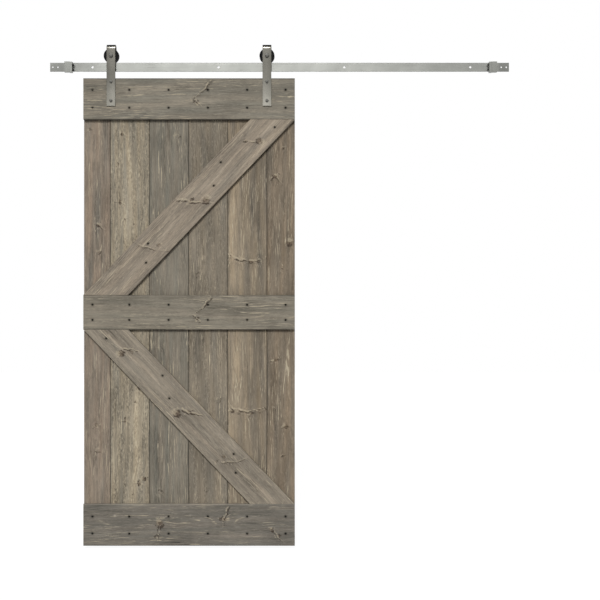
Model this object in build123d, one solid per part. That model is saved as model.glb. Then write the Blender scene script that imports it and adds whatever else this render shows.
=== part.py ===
from build123d import *
from math import asin, atan2, hypot, sin, tan
import os

# A sliding barn door of tongue-and-groove boards, with rails and two braces that draw a K.
# It hangs by two bent straps, whose wheels run along the top edge of a flat steel bar.
#
# Millimetres. X runs to the right as seen from the room, Y points to the wall and Z is up.
# The origin is the middle of the bar's row of mounting holes, on the face towards the wall.

# Track: a flat bar on edge
track_length = 2098.0
track_height = 40.0
track_thickness = 6.0
track_shift = -8.4  # the bar's middle, from the middle of its mounting holes
track_edge = 0.8  # chamfer along the bar's four long edges
mount_hole_radius = 5.25
mount_hole_pitch = 576.0
mount_hole_count = 4
end_hole_radius = 3.75
end_hole_inset = 12.0
end_hole_pitch = 23.0

# Stops: a clamp on the bar, a plate in front of the bar and two rubber buffers
left_stop_inset = 66.0  # from the bar's left end to the clamp
right_stop_inset = 55.0
clamp_width = 26.0
clamp_front_wall = 5.0
clamp_back_wall = 3.0
clamp_roof = 5.0
clamp_floor = 3.4
clamp_lip = 9.0  # how far each back lip reaches over the bar
clamp_clearance = 0.3
set_screw_radius = 2.5
set_screw_pitch = 13.0
set_screw_stand = 1.2  # how far it stands out of the clamp's roof
set_screw_sides = 8
plate_width = 13.0
plate_height = 48.0
plate_depth = 22.0
plate_drop = 3.2  # the plate's middle below the bar's
buffer_radius = 4.0
buffer_length = 6.7
buffer_bevel = 1.2
buffer_pitch = 20.0
buffer_sides = 12

# Wheels, and the sleeve that each turns on
wheel_flange_radius = 34.3
wheel_groove_radius = 30.5
wheel_width = 26.0
wheel_groove_play = 1.0  # between the bar and each side of the groove
wheel_ride_gap = 0.3
sleeve_wall = 3.0
sleeve_play = 0.08

# Hanger straps and the axles that they carry
strap_width = 40.0
strap_thickness = 5.0
strap_inset = 127.0  # from the door's side edge to the strap's middle
strap_reach = 127.3  # from the door's top down to the strap's end
strap_bolt_drop = 16.0
strap_bolt_pitch = 86.6
wheel_side_gap = 1.0  # between the wheel and each leg of the strap
crown_gap = 12.3  # between the wheel and the inside of the bend
axle_radius = 6.0
axle_fit = 0.15  # between the axle and what is threaded on it
axle_head_flats = 18.0
axle_head_height = 7.0
axle_nut_height = 9.0
axle_tail = 2.5  # thread that stands out of the nut

# Coach screws that hold each strap to the door
bolt_radius = 4.0
bolt_fit = 0.25
bolt_head_flats = 13.0
bolt_head_height = 5.3
bolt_grip = 30.0  # length in the wood
bolt_hole_spare = 1.0

# Door leaf
door_width = 965.2
door_height = 2133.6
door_gap = 32.7  # between the bar and the door's top edge
door_centre_x = -421.3
board_thickness = 19.0
board_count = 6
first_board_face = 120.5
board_face = 179.2  # boards 2 to 5; the last board takes what is left
board_gap = 0.8
board_edge = 1.5  # chamfer beside each joint
tongue_thickness = 6.0
tongue_length = 7.0
groove_play = 0.2

# Rails and braces, on the boards' front face
rail_thickness = 19.0
rail_edge = 2.0
top_rail_height = 187.5
middle_rail_height = 157.5
middle_rail_drop = 989.2  # from the door's top to the rail's top
bottom_rail_height = 190.0
brace_width = 148.0

# Black countersunk screws, each a six-sided peg in a hole of the same form
screw_head_radius = 4.0
screw_shank_radius = 1.8
screw_length = 32.0
screw_hole_spare = 1.0  # the hole's depth below the screw's point
screw_sides = 6
screw_side_inset = 42.0  # from the door's side edge to the outer screws
top_row_inset = 53.0
middle_row_inset = 44.0
bottom_row_inset = 56.0

# Where the screws of each brace lie: right of the door's middle, and above the brace's middle line
upper_brace_spots = ((391.0, -47.0), (145.0, 52.0), (113.0, -21.0), (-187.0, 31.0), (-196.0, -47.0))
lower_brace_spots = ((-378.0, -38.0), (-121.0, 62.0), (-90.0, -10.0), (204.0, 44.0), (213.0, -32.0))

# Heights and depths that follow from the sizes above
track_top = track_height / 2
track_left = track_shift - track_length / 2
track_right = track_shift + track_length / 2
wheel_y = -track_thickness / 2
axle_z = track_top + wheel_ride_gap + wheel_groove_radius
strap_gap = wheel_width + 2 * wheel_side_gap
strap_inner_front = wheel_y - strap_gap / 2
strap_outer_front = strap_inner_front - strap_thickness
strap_inner_back = wheel_y + strap_gap / 2
strap_outer_back = strap_inner_back + strap_thickness
bend_radius = strap_gap / 2
bend_z = axle_z + wheel_flange_radius + crown_gap - bend_radius

door_left = door_centre_x - door_width / 2
door_right = door_centre_x + door_width / 2
door_top = -track_top - door_gap
door_bottom = door_top - door_height
door_front = strap_inner_front
board_front = door_front + rail_thickness
board_back = board_front + board_thickness
middle_rail_top = door_top - middle_rail_drop
strap_end = door_top - strap_reach
hanger_xs = (door_left + strap_inset, door_right - strap_inset)
bolt_zs = (door_top - strap_bolt_drop, door_top - strap_bolt_drop - strap_bolt_pitch)


def block(x0, x1, y0, y1, z0, z1):
    """A box between two corners."""
    return Pos(x0, y0, z0) * Box(x1 - x0, y1 - y0, z1 - z0, align=(Align.MIN,) * 3)


def rod(radius, x, z, y0, y1):
    """A round bar along Y."""
    return Pos(x, (y0 + y1) / 2, z) * Rot(90, 0, 0) * Cylinder(radius, y1 - y0)


def sleeve(outer, inner, x, z, y0, y1):
    """A round tube along Y."""
    return rod(outer, x, z, y0, y1) - rod(inner, x, z, y0, y1)


def hexagon(flats, x, z, y0, y1):
    """A six-sided bar along Y, with a corner at its top."""
    section = Plane.XZ * Pos(x, z) * RegularPolygon(flats / 2, 6, major_radius=False, rotation=90)
    return Pos(0, y1, 0) * extrude(section, y1 - y0)


def prism(radius, sides, low, high):
    """A many-sided bar along Z, its flats at the radius."""
    return extrude(Pos(0, 0, low) * RegularPolygon(radius, sides, major_radius=False), high - low)


# Track and stops


def track_bar():
    """The flat bar, with its long edges broken and a hole for each wall bolt and each end screw."""
    bar = block(track_left, track_right, -track_thickness, 0, -track_top, track_top)
    bar = chamfer(bar.edges().filter_by(Axis.X), track_edge)
    first = -mount_hole_pitch * (mount_hole_count - 1) / 2
    for number in range(mount_hole_count):
        bar -= rod(mount_hole_radius, first + number * mount_hole_pitch, 0, -track_thickness, 0)
    for end, inward in ((track_left, 1), (track_right, -1)):
        for inset in (end_hole_inset, end_hole_inset + end_hole_pitch):
            bar -= rod(end_hole_radius, end + inward * inset, 0, -track_thickness, 0)
    return bar


class Stop:
    """The places of one stop. Inward is +1 on the left one and -1 on the right one."""

    def __init__(self, outer_x, inward):
        self.inward = inward
        self.outer_x = outer_x
        self.clamp_x = outer_x + inward * clamp_width
        self.plate_x = self.clamp_x + inward * plate_width
        self.tip_x = self.plate_x + inward * buffer_length
        middle = outer_x + inward * clamp_width / 2
        self.screw_xs = (middle - set_screw_pitch / 2, middle + set_screw_pitch / 2)
        self.buffer_zs = (buffer_pitch / 2 - plate_drop, -buffer_pitch / 2 - plate_drop)


stops = (Stop(track_left + left_stop_inset, 1), Stop(track_right - right_stop_inset, -1))
plate_back = -track_thickness - clamp_clearance
buffer_y = strap_inner_front - strap_thickness / 2  # they meet the middle of the strap's edge
roof_top = track_top + clamp_clearance + clamp_roof


def stop_clamp(stop):
    """A channel round the bar, open at the back between two lips. Its floor meets the bar's lower edge."""
    x0, x1 = sorted((stop.outer_x, stop.clamp_x))
    front = plate_back - clamp_front_wall
    back = clamp_clearance + clamp_back_wall
    clamp = block(x0, x1, front, back, -track_top - clamp_floor, roof_top)
    clamp -= block(x0, x1, plate_back, clamp_clearance, -track_top, track_top + clamp_clearance)
    clamp -= block(x0, x1, 0, back, clamp_lip - track_top, track_top - clamp_lip)
    for x in stop.screw_xs:
        clamp -= Pos(x, wheel_y, 0) * prism(set_screw_radius, set_screw_sides, track_top, roof_top)
    return clamp


def stop_set_screws():
    """Grub screws that press on the bar's top edge through each clamp's roof."""
    screw = prism(set_screw_radius, set_screw_sides, track_top, roof_top + set_screw_stand)
    return [Pos(x, wheel_y, 0) * screw for stop in stops for x in stop.screw_xs]


def stop_plate(stop):
    """The plate welded beside the clamp, in front of the bar."""
    x0, x1 = sorted((stop.clamp_x, stop.plate_x))
    low = -plate_drop - plate_height / 2
    return block(x0, x1, plate_back - plate_depth, plate_back, low, low + plate_height)


def stop_buffers():
    """Rubber buttons glued to each plate, with a bevelled end."""
    button = prism(buffer_radius, buffer_sides, 0, buffer_length)
    button = chamfer(button.faces().sort_by(Axis.Z)[-1].edges(), buffer_bevel)
    return [
        Pos(stop.plate_x, buffer_y, z) * Rot(0, 90 * stop.inward, 0) * button
        for stop in stops
        for z in stop.buffer_zs
    ]


# Wheels and hangers


def wheel(x):
    """A turned wheel with a square groove for the bar between two flanges, and a bore for its sleeve."""
    half = wheel_width / 2
    groove = track_thickness / 2 + wheel_groove_play
    turned = rod(wheel_flange_radius, x, axle_z, wheel_y - half, wheel_y + half)
    turned -= sleeve(
        2 * wheel_flange_radius, wheel_groove_radius, x, axle_z, wheel_y - groove, wheel_y + groove
    )
    bore = axle_radius + axle_fit + sleeve_wall + sleeve_play
    return turned - rod(bore, x, axle_z, wheel_y - half, wheel_y + half)


def axle_sleeves():
    """Steel tubes held between the legs of each strap, on which the wheels turn."""
    inner = axle_radius + axle_fit
    outer = inner + sleeve_wall
    return [sleeve(outer, inner, x, axle_z, strap_inner_front, strap_inner_back) for x in hanger_xs]


def hanger_strap(x):
    """A flat strip bent over the wheel: a long front leg on the door, and a short round-ended back leg."""
    outside = bend_radius + strap_thickness
    middle = Pos(wheel_y, bend_z)
    bend = middle * (Circle(outside) - Circle(bend_radius))
    bend -= Pos(wheel_y, bend_z - outside) * Rectangle(4 * outside, 2 * outside)
    back_end = axle_z - strap_width / 2
    low_corner = (Align.MIN, Align.MIN)
    front_leg = Pos(strap_outer_front, strap_end) * Rectangle(
        strap_thickness, bend_z - strap_end, align=low_corner
    )
    back_leg = Pos(strap_inner_back, back_end) * Rectangle(
        strap_thickness, bend_z - back_end, align=low_corner
    )
    profile = Plane.YZ * (bend + front_leg + back_leg)
    strap = Pos(x, 0, 0) * extrude(profile, strap_width / 2, both=True)
    left, right = x - strap_width / 2, x + strap_width / 2
    corners = block(left, right, strap_inner_back, strap_outer_back, back_end, axle_z)
    strap -= corners - rod(strap_width / 2, x, axle_z, strap_inner_back, strap_outer_back)
    strap -= rod(axle_radius + axle_fit, x, axle_z, strap_outer_front, strap_outer_back)
    for z in bolt_zs:
        strap -= rod(bolt_radius + bolt_fit, x, z, strap_outer_front, strap_inner_front)
    return strap


def axle_bolts():
    """Hexagon bolts through both legs of each strap, with their heads at the front."""
    end = strap_outer_back + axle_nut_height + axle_tail
    head = strap_outer_front - axle_head_height
    return [
        hexagon(axle_head_flats, x, axle_z, head, strap_outer_front)
        + rod(axle_radius, x, axle_z, strap_outer_front, end)
        for x in hanger_xs
    ]


def axle_nuts():
    """Nuts behind the back legs."""
    end = strap_outer_back + axle_nut_height
    return [
        hexagon(axle_head_flats, x, axle_z, strap_outer_back, end)
        - rod(axle_radius, x, axle_z, strap_outer_back, end)
        for x in hanger_xs
    ]


def hanger_screws():
    """Coach screws through each strap into rail and board, with hexagon heads at the front."""
    head = strap_outer_front - bolt_head_height
    end = strap_inner_front + bolt_grip
    return [
        hexagon(bolt_head_flats, x, z, head, strap_outer_front)
        + rod(bolt_radius, x, z, strap_outer_front, end)
        for x in hanger_xs
        for z in bolt_zs
    ]


# Door leaf


def board_sides():
    """The left and right face edge of each board, from the left."""
    edges = [door_left] + [door_left + first_board_face + board_face * n for n in range(board_count - 1)]
    edges.append(door_right)
    return list(zip(edges, edges[1:]))


def brace_lean(height):
    """The lean of a brace whose outer corners lie in the opposite corners of a panel, from the level."""
    return atan2(height, door_width) + asin(brace_width / hypot(height, door_width))


class Panel:
    """The open space between two rails, and the brace across it. Rise is +1 if it rises to the right."""

    def __init__(self, low, high, rise):
        self.low, self.high, self.rise = low, high, rise
        self.lean = brace_lean(high - low)
        self.cut = brace_width / sin(self.lean)  # the brace's width where it meets a rail

    def outline(self):
        """The brace's four corners: two on one rail and two on the other."""
        start, end = (self.low, self.high) if self.rise > 0 else (self.high, self.low)
        return (
            (door_left, start),
            (door_left + self.cut, start),
            (door_right, end),
            (door_right - self.cut, end),
        )

    def spot(self, right, above):
        """A place on the brace, from the door's middle and the brace's middle line."""
        slope = self.rise * tan(self.lean)
        return door_centre_x + right, (self.low + self.high) / 2 + slope * right + above


bottom_rail_top = door_bottom + bottom_rail_height
upper_panel = Panel(middle_rail_top, door_top - top_rail_height, 1)
lower_panel = Panel(bottom_rail_top, middle_rail_top - middle_rail_height, -1)


def screw_columns():
    """Where the screws of a rail stand: on each board's middle, and nearer the edge on the outer two."""
    middles = [(left + right) / 2 for left, right in board_sides()]
    return [door_left + screw_side_inset] + middles[1:-1] + [door_right - screw_side_inset]


def rail_spots(top, height, inset):
    """Two rows of screw places along a rail."""
    return [(x, z) for z in (top - inset, top - height + inset) for x in screw_columns()]


top_rail_spots = rail_spots(door_top, top_rail_height, top_row_inset)
middle_rail_spots = rail_spots(middle_rail_top, middle_rail_height, middle_row_inset)
bottom_rail_spots = rail_spots(bottom_rail_top, bottom_rail_height, bottom_row_inset)
upper_spots = [upper_panel.spot(*spot) for spot in upper_brace_spots]
lower_spots = [lower_panel.spot(*spot) for spot in lower_brace_spots]
all_spots = top_rail_spots + middle_rail_spots + bottom_rail_spots + upper_spots + lower_spots


def peg(length):
    """A screw's form, its head flush at the origin and its shank pointing to +Y."""
    head_depth = screw_head_radius - screw_shank_radius
    head = extrude(RegularPolygon(screw_head_radius, screw_sides), head_depth, taper=45)
    shank = extrude(RegularPolygon(screw_shank_radius, screw_sides), length)
    return Rot(-90, 0, 0) * (head + shank)


def screws(spots):
    """A row of screws, their heads flush with the front of the rails."""
    screw = peg(screw_length)
    return [Pos(x, door_front, z) * screw for x, z in spots]


def drilled(wood):
    """A piece of the leaf, with a hole for each screw that enters it. Those for coach screws are six-sided."""
    box = wood.bounding_box()
    margin = max(screw_head_radius, bolt_radius + bolt_fit)

    def near(x, z):
        inside_x = box.min.X - margin < x < box.max.X + margin
        return inside_x and box.min.Z - margin < z < box.max.Z + margin

    hole = peg(screw_length + screw_hole_spare)
    cuts = [Pos(x, door_front, z) * hole for x, z in all_spots if near(x, z)]
    for x in hanger_xs:
        for z in bolt_zs:
            if near(x, z):
                end = door_front + bolt_grip + bolt_hole_spare
                cuts.append(hexagon(2 * (bolt_radius + bolt_fit), x, z, door_front, end))
    return wood - cuts if cuts else wood


def board(number):
    """A board with a groove on its left and a tongue on its right, and chamfers beside its joints."""
    left, right = board_sides()[number]
    y0, y1, c = board_front, board_back, board_edge
    middle = (y0 + y1) / 2
    tongue = tongue_thickness / 2
    groove = tongue + groove_play / 2
    reach = right + tongue_length
    points = [(left + c, y0)]
    if number < board_count - 1:
        right -= board_gap / 2
        points += [(right - c, y0), (right, y0 + c), (right, middle - tongue), (reach, middle - tongue)]
        points += [(reach, middle + tongue), (right, middle + tongue), (right, y1 - c), (right - c, y1)]
    else:
        points += [(right - c, y0), (right, y0 + c), (right, y1 - c), (right - c, y1)]
    if number > 0:
        depth = left + tongue_length + board_gap
        left += board_gap / 2
        points[0] = (left + c, y0)
        points += [(left + c, y1), (left, y1 - c), (left, middle + groove), (depth, middle + groove)]
        points += [(depth, middle - groove), (left, middle - groove), (left, y0 + c)]
    else:
        points += [(left + c, y1), (left, y1 - c), (left, y0 + c)]
    plank = extrude(make_face(Polyline(*points, close=True)), door_height)
    return drilled(Pos(0, 0, door_bottom) * plank)


def eased(piece):
    """A piece with the edges of its front face chamfered."""
    return chamfer(piece.faces().sort_by(Axis.Y)[0].edges(), rail_edge)


def rail(top, height):
    """A level board across the front of the leaf."""
    return drilled(eased(block(door_left, door_right, door_front, board_front, top - height, top)))


def brace(panel):
    """A leaning board, cut level where it meets the rails."""
    outline = Plane.XZ * make_face(Polyline(*panel.outline(), close=True))
    return drilled(eased(Pos(0, board_front, 0) * extrude(outline, rail_thickness)))


nodes = {
    "track_bar": [track_bar()],
    "stop_set_screws": stop_set_screws(),
    "stop_buffers": stop_buffers(),
    "axle_bolts": axle_bolts(),
    "axle_nuts": axle_nuts(),
    "axle_sleeves": axle_sleeves(),
    "hanger_screws": hanger_screws(),
    "top_rail": [rail(door_top, top_rail_height)],
    "middle_rail": [rail(middle_rail_top, middle_rail_height)],
    "bottom_rail": [rail(bottom_rail_top, bottom_rail_height)],
    "upper_brace": [brace(upper_panel)],
    "lower_brace": [brace(lower_panel)],
    "top_rail_screws": screws(top_rail_spots),
    "middle_rail_screws": screws(middle_rail_spots),
    "bottom_rail_screws": screws(bottom_rail_spots),
    "upper_brace_screws": screws(upper_spots),
    "lower_brace_screws": screws(lower_spots),
}
for side, stop, x in zip(("left", "right"), stops, hanger_xs):
    nodes[side + "_stop_clamp"] = [stop_clamp(stop)]
    nodes[side + "_stop_plate"] = [stop_plate(stop)]
    nodes[side + "_hanger_strap"] = [hanger_strap(x)]
    nodes[side + "_wheel"] = [wheel(x)]
for number in range(board_count):
    nodes[f"board_{number + 1}"] = [board(number)]

os.makedirs("parts", exist_ok=True)
for name, solids in nodes.items():
    shapes = [solid for shape in solids for solid in shape.solids()]
    export_step(Compound(shapes), f"parts/{name}.step")
    print(name, len(shapes))

left_travel = stops[0].tip_x - (hanger_xs[0] - strap_width / 2)
right_travel = stops[1].tip_x - (hanger_xs[1] + strap_width / 2)
print("The door slides from", round(left_travel, 1), "to", round(right_travel, 1))
print("Wheels turn", round(1000 / wheel_groove_radius, 4), "radians a metre")
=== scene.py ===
# %% [markdown]
# # A sliding barn door on its track
#
# The door is six upright boards behind three rails and two braces, all stained a weathered grey.
# Two bent steel straps carry it, and their wheels run along the top edge of a flat steel bar.
# The exact solids come with the part. Here each of them gets its finish, and those whose looks need
# finer shapes, such as worn boards, bent straps and screw heads, get a finer piece in the same place.

# %% Load the solids
import bmesh
import bpy
import numpy as np
from math import asin, atan2, cos, hypot, pi, radians, sin
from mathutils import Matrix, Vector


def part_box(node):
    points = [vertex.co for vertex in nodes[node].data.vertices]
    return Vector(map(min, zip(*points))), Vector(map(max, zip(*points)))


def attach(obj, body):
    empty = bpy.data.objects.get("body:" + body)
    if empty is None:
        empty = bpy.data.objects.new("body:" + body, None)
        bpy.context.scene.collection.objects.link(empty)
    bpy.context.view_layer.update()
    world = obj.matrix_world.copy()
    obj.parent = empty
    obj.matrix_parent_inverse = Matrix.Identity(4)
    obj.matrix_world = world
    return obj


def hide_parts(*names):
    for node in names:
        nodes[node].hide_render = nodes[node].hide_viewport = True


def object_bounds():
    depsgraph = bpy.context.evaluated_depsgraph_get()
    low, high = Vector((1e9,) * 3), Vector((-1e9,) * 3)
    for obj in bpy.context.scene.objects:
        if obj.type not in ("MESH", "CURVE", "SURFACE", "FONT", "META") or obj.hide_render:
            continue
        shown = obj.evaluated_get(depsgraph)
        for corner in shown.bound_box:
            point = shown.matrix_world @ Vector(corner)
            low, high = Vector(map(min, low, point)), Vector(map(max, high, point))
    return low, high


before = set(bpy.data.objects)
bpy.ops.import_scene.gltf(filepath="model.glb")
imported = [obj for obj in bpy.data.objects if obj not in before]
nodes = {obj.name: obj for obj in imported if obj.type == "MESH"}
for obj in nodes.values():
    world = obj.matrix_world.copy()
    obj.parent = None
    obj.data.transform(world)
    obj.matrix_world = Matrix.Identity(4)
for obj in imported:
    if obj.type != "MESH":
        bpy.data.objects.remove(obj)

cad_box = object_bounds()
mm = 0.001
print("The whole door measures", [round(high - low, 3) for low, high in zip(*cad_box)], "metres")

# %% [markdown]
# ## The camera
#
# A picture of a flat thing is mostly a matter of standing square in front of it. The camera could be
# orthographic, which keeps every edge parallel, but a real lens at about five metres shows a little of
# the sides, so a perspective camera is used. Its distance follows from the width that it has to see.

# %% Place the camera
view_x = 0.0851  # the middle of the view
view_z = -1.0646
view_width = 2.7374  # how much of the door's plane the picture takes in
lens = 66  # millimetres, and so is the sensor's width
sensor = 36
door_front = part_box("top_rail")[0].y

camera_data = bpy.data.cameras.new("camera")
camera_data.lens = lens
camera_data.sensor_width = sensor
camera = bpy.data.objects.new("camera", camera_data)
bpy.context.scene.collection.objects.link(camera)
camera.location = (view_x, door_front - view_width * lens / sensor, view_z)
camera.rotation_euler = (radians(90), 0, 0)
bpy.context.scene.camera = camera
print("The camera stands", round(door_front - camera.location.y, 2), "m in front of the door")

# %% [markdown]
# ## Finishes as small graphs
#
# Every finish is a material made of nodes: patterns worked out from places on the piece, with no
# pictures. Adding nodes one call at a time is long, so a small class keeps each call to one line.
# A value that is a socket is linked, and any other value is set on the node. The studio's light is
# a graph too, so the class comes in two parts: any graph, and a graph with a shader.


# %% A class that builds a finish
def colour(red, green, blue):
    """A screen colour from 0 to 255 as the linear light that a shader works with."""
    share = np.array([red, green, blue]) / 255
    linear = np.where(share > 0.04045, ((share + 0.055) / 1.055) ** 2.4, share / 12.92)
    return (*linear.tolist(), 1.0)


class Graph:
    """Nodes under construction."""

    def __init__(self, tree):
        self.tree = tree

    def feed(self, socket, value):
        """Links a socket to the input, or sets a plain value."""
        if isinstance(value, bpy.types.NodeSocket):
            self.tree.links.new(value, socket)
        else:
            socket.default_value = value

    def node(self, kind, inputs, **settings):
        """Adds a node with its settings and feeds its inputs."""
        made = self.tree.nodes.new("ShaderNode" + kind)
        for key, value in settings.items():
            setattr(made, key, value)
        for key, value in inputs.items():
            self.feed(made.inputs[key], value)
        return made

    def math(self, operation, *values):
        """A sum on numbers, two at a time from the left."""
        made = self.node("Math", dict(enumerate(values[:2])), operation=operation).outputs[0]
        return self.math(operation, made, *values[2:]) if len(values) > 2 else made

    def plus(self, *values):
        """Numbers added up."""
        return self.math("ADD", *values)

    def times(self, *values):
        """Numbers multiplied."""
        return self.math("MULTIPLY", *values)

    def minus(self, *values):
        """The first number less the others."""
        return self.math("SUBTRACT", *values)

    def vector(self, operation, first, second):
        """A sum on two places, direction by direction."""
        return self.node("VectorMath", {0: first, 1: second}, operation=operation).outputs[0]

    def parts(self, place):
        """The three numbers of a place."""
        return self.node("SeparateXYZ", {0: place}).outputs

    def noise(self, place, factors, detail=3.0, rough=0.55, output="Fac"):
        """Cloudy noise from about 0.3 to 0.7, with so many clouds a metre in each direction."""
        inputs = {"Vector": self.vector("MULTIPLY", place, factors), "Scale": 1.0}
        inputs.update({"Detail": detail, "Roughness": rough})
        return self.node("TexNoise", inputs).outputs[output]

    def swing(self, noise, gain):
        """Noise measured from its middle, 0.5, and made stronger or weaker."""
        return self.times(self.minus(noise, 0.5), gain)

    def between(self, value, low, high, first=0.0, last=1.0):
        """The first number below low, the last one above high, and a soft step between them."""
        inputs = {"Value": value, "From Min": low, "From Max": high, "To Min": first, "To Max": last}
        return self.node("MapRange", inputs, interpolation_type="SMOOTHSTEP").outputs[0]

    def mix(self, amount, first, second, kind="MIX"):
        """One colour over another."""
        made = self.node("Mix", {0: amount, 6: first, 7: second}, data_type="RGBA", blend_type=kind)
        return made.outputs[2]

    def tinted(self, base, tone):
        """A colour multiplied by a number."""
        grey = self.node("CombineXYZ", {0: tone, 1: tone, 2: tone}).outputs[0]
        return self.mix(1.0, base, grey, "MULTIPLY")

    def attribute(self, name):
        """A pattern that is stored on the piece itself."""
        return self.node("Attribute", {}, attribute_name=name).outputs

    def place(self):
        """The place on the object, in metres."""
        return self.node("TexCoord", {}).outputs["Object"]


class Finish(Graph):
    """A material under construction, with its shader."""

    def __init__(self, name, base=(0.5, 0.5, 0.5, 1.0), roughness=0.5, metallic=0.0):
        self.material = bpy.data.materials.new(name)
        self.material.use_nodes = True
        super().__init__(self.material.node_tree)
        self.shader = self.tree.nodes["Principled BSDF"]
        self.set("Base Color", base)
        self.set("Roughness", roughness)
        self.set("Metallic", metallic)

    def set(self, name, value):
        """Feeds an input of the shader."""
        self.feed(self.shader.inputs[name], value)

    def bump(self, height, distance, strength=1.0):
        """Small relief from a height of 0 to 1."""
        inputs = {"Height": height, "Distance": distance, "Strength": strength}
        self.set("Normal", self.node("Bump", inputs).outputs["Normal"])


print("Finish can add", len([name for name in dir(Finish) if not name.startswith("_")]), "kinds of step")

# %% [markdown]
# ## Meshes as whole arrays
#
# Almost every piece here is a closed loop of places, a section, that is repeated along a path: a board,
# a bent strap, a turned wheel, a screw. So one function numbers the faces between the loops, and one
# puts the numbers into Blender. The places themselves are worked out as whole arrays.


# %% Faces between loops, and a mesh from arrays
def loop_faces(count, around, ring=False):
    """Four-sided faces between loops that follow each other, and one flat face across each end.

    Loop i holds the points i * around to (i + 1) * around - 1. A ring joins its last loop to its first.
    """
    here = np.arange(around)
    after = (here + 1) % around
    rows = np.arange(count if ring else count - 1)[:, None]
    low, high = rows * around, (rows + 1) % count * around
    sides = np.stack([low + here, low + after, high + after, high + here], -1).reshape(-1, 4)
    ends = np.stack([here[::-1], here + (count - 1) * around])
    return [sides] if ring else [sides, ends]


def copies(points, faces, places):
    """The same shape at several places: its points moved to each, and its faces numbered on."""
    places = np.asarray(places, float)
    moved = (points[None] + places[:, None]).reshape(-1, 3)
    shift = np.arange(len(places))[:, None, None] * len(points)
    return moved, [(group[None] + shift).reshape(-1, group.shape[1]) for group in faces]


def together(*shapes):
    """Several shapes as one list of points and one of faces."""
    starts = np.cumsum([0] + [len(points) for points, faces in shapes])
    faces = [group + start for (points, groups), start in zip(shapes, starts) for group in groups]
    return np.concatenate([points for points, faces in shapes]), faces


def add_piece(name, shape, body, finish, node, sharp=35.0):
    """Puts a shape into a mesh with its faces outwards, hangs it on its body and hides the solid that it
    stands for.
    """
    points, faces = shape
    mesh = bpy.data.meshes.new(name)
    mesh.from_pydata(points.tolist(), [], [face for group in faces for face in group.tolist()])
    shell = bmesh.new()
    shell.from_mesh(mesh)
    bmesh.ops.recalc_face_normals(shell, faces=shell.faces)
    shell.to_mesh(mesh)
    shell.free()
    mesh.shade_smooth()
    mesh.set_sharp_from_angle(angle=radians(sharp))
    mesh.materials.append(finish.material)
    piece = bpy.data.objects.new(name, mesh)
    bpy.context.scene.collection.objects.link(piece)
    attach(piece, body)
    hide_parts(node)
    print(name, len(mesh.polygons), "faces")
    return piece


# %% [markdown]
# ## Finding the small pieces
#
# Screws, bolts and buttons of one kind share a node. Their places could be copied by hand, but then a
# change of the solids would leave the heads behind. So the separate solids of a node are told apart by
# walking along their edges, and each gives its own box.


# %% The box of each solid in a node
def islands(name):
    """The lowest and highest corner of each separate solid in a node: its points are joined by edges."""
    shell = bmesh.new()
    shell.from_mesh(nodes[name].data)
    bmesh.ops.remove_doubles(shell, verts=shell.verts, dist=0.01 * mm)
    left, boxes = set(shell.verts), []
    while left:
        group, queue = [], [left.pop()]
        while queue:
            point = queue.pop()
            group.append(point.co.copy())
            near = {edge.other_vert(point) for edge in point.link_edges} & left
            left -= near
            queue.extend(near)
        group = np.array(group)
        boxes.append((group.min(0), group.max(0)))
    shell.free()
    return sorted(boxes, key=lambda box: tuple(np.round(box[0], 4)))


def places_at(name, depth):
    """The middle of each separate solid in a node, brought to one depth."""
    return [(low + high) / 2 * (1, 0, 1) + (0, depth, 0) for low, high in islands(name)]


print("The top rail has", len(islands("top_rail_screws")), "screws")

# %% [markdown]
# ## Wood: where each piece of the leaf lies
#
# A board is sawn from a log, so its grain is best described in the board's own directions: u along it,
# v across its face and w into it. The same three numbers place the points of its mesh and drive its
# pattern, so the grain follows a leaning brace without any turned texture. The places of the pieces are
# read from the solids, and only the small sizes that a box can't tell, such as the tongue, are named.

# %% Planks and their directions
board_edge = 1.5 * mm
rail_edge = 2.0 * mm
tongue_length = 7.0 * mm
tongue_half = 3.0 * mm
groove_half = 3.1 * mm
groove_depth = 7.4 * mm
board_gap = 0.8 * mm
brace_width = 148.0 * mm
leaf_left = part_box("board_1")[0].x
leaf_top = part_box("board_1")[1].z


class Plank:
    """A piece of the leaf: its corner, its direction along, its step across, and its sizes."""

    def __init__(self, name, corner, along, across, length, width, edge):
        low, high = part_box(name)
        self.name = name
        self.front, self.back = low.y, high.y
        self.corner = np.array([corner[0], low.y, corner[1]])
        self.along = np.array([along[0], 0, along[1]])
        self.across = np.array([across[0], 0, across[1]])
        self.square = np.array([-along[1], 0, along[0]])  # level with the face, at a right angle to the grain
        self.square *= np.sign(self.square @ self.across)
        self.length, self.width, self.edge = length, width, edge
        self.skew = self.along @ self.across

    def place(self, point):
        """A point of the door as u and v."""
        return (point - self.corner) @ self.along, (point - self.corner) @ self.square

    def spot(self, right, down):
        """A place in millimetres from the leaf's top left corner, as u and v."""
        return self.place(np.array([leaf_left + right * mm, self.front, leaf_top - down * mm]))


def board_plank(number):
    """An upright board: u runs down from its top, v from its left face edge to its right one."""
    name = f"board_{number}"
    low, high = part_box(name)
    right = high.x - tongue_length - board_gap / 2 if number < 6 else high.x
    return Plank(name, (low.x, high.z), (0, -1), (1, 0), high.z - low.z, right - low.x, board_edge)


def rail_plank(name):
    """A rail: u runs to the right and v down from its top edge."""
    low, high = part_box(name)
    return Plank(name, (low.x, high.z), (1, 0), (0, -1), high.x - low.x, high.z - low.z, rail_edge)


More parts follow.
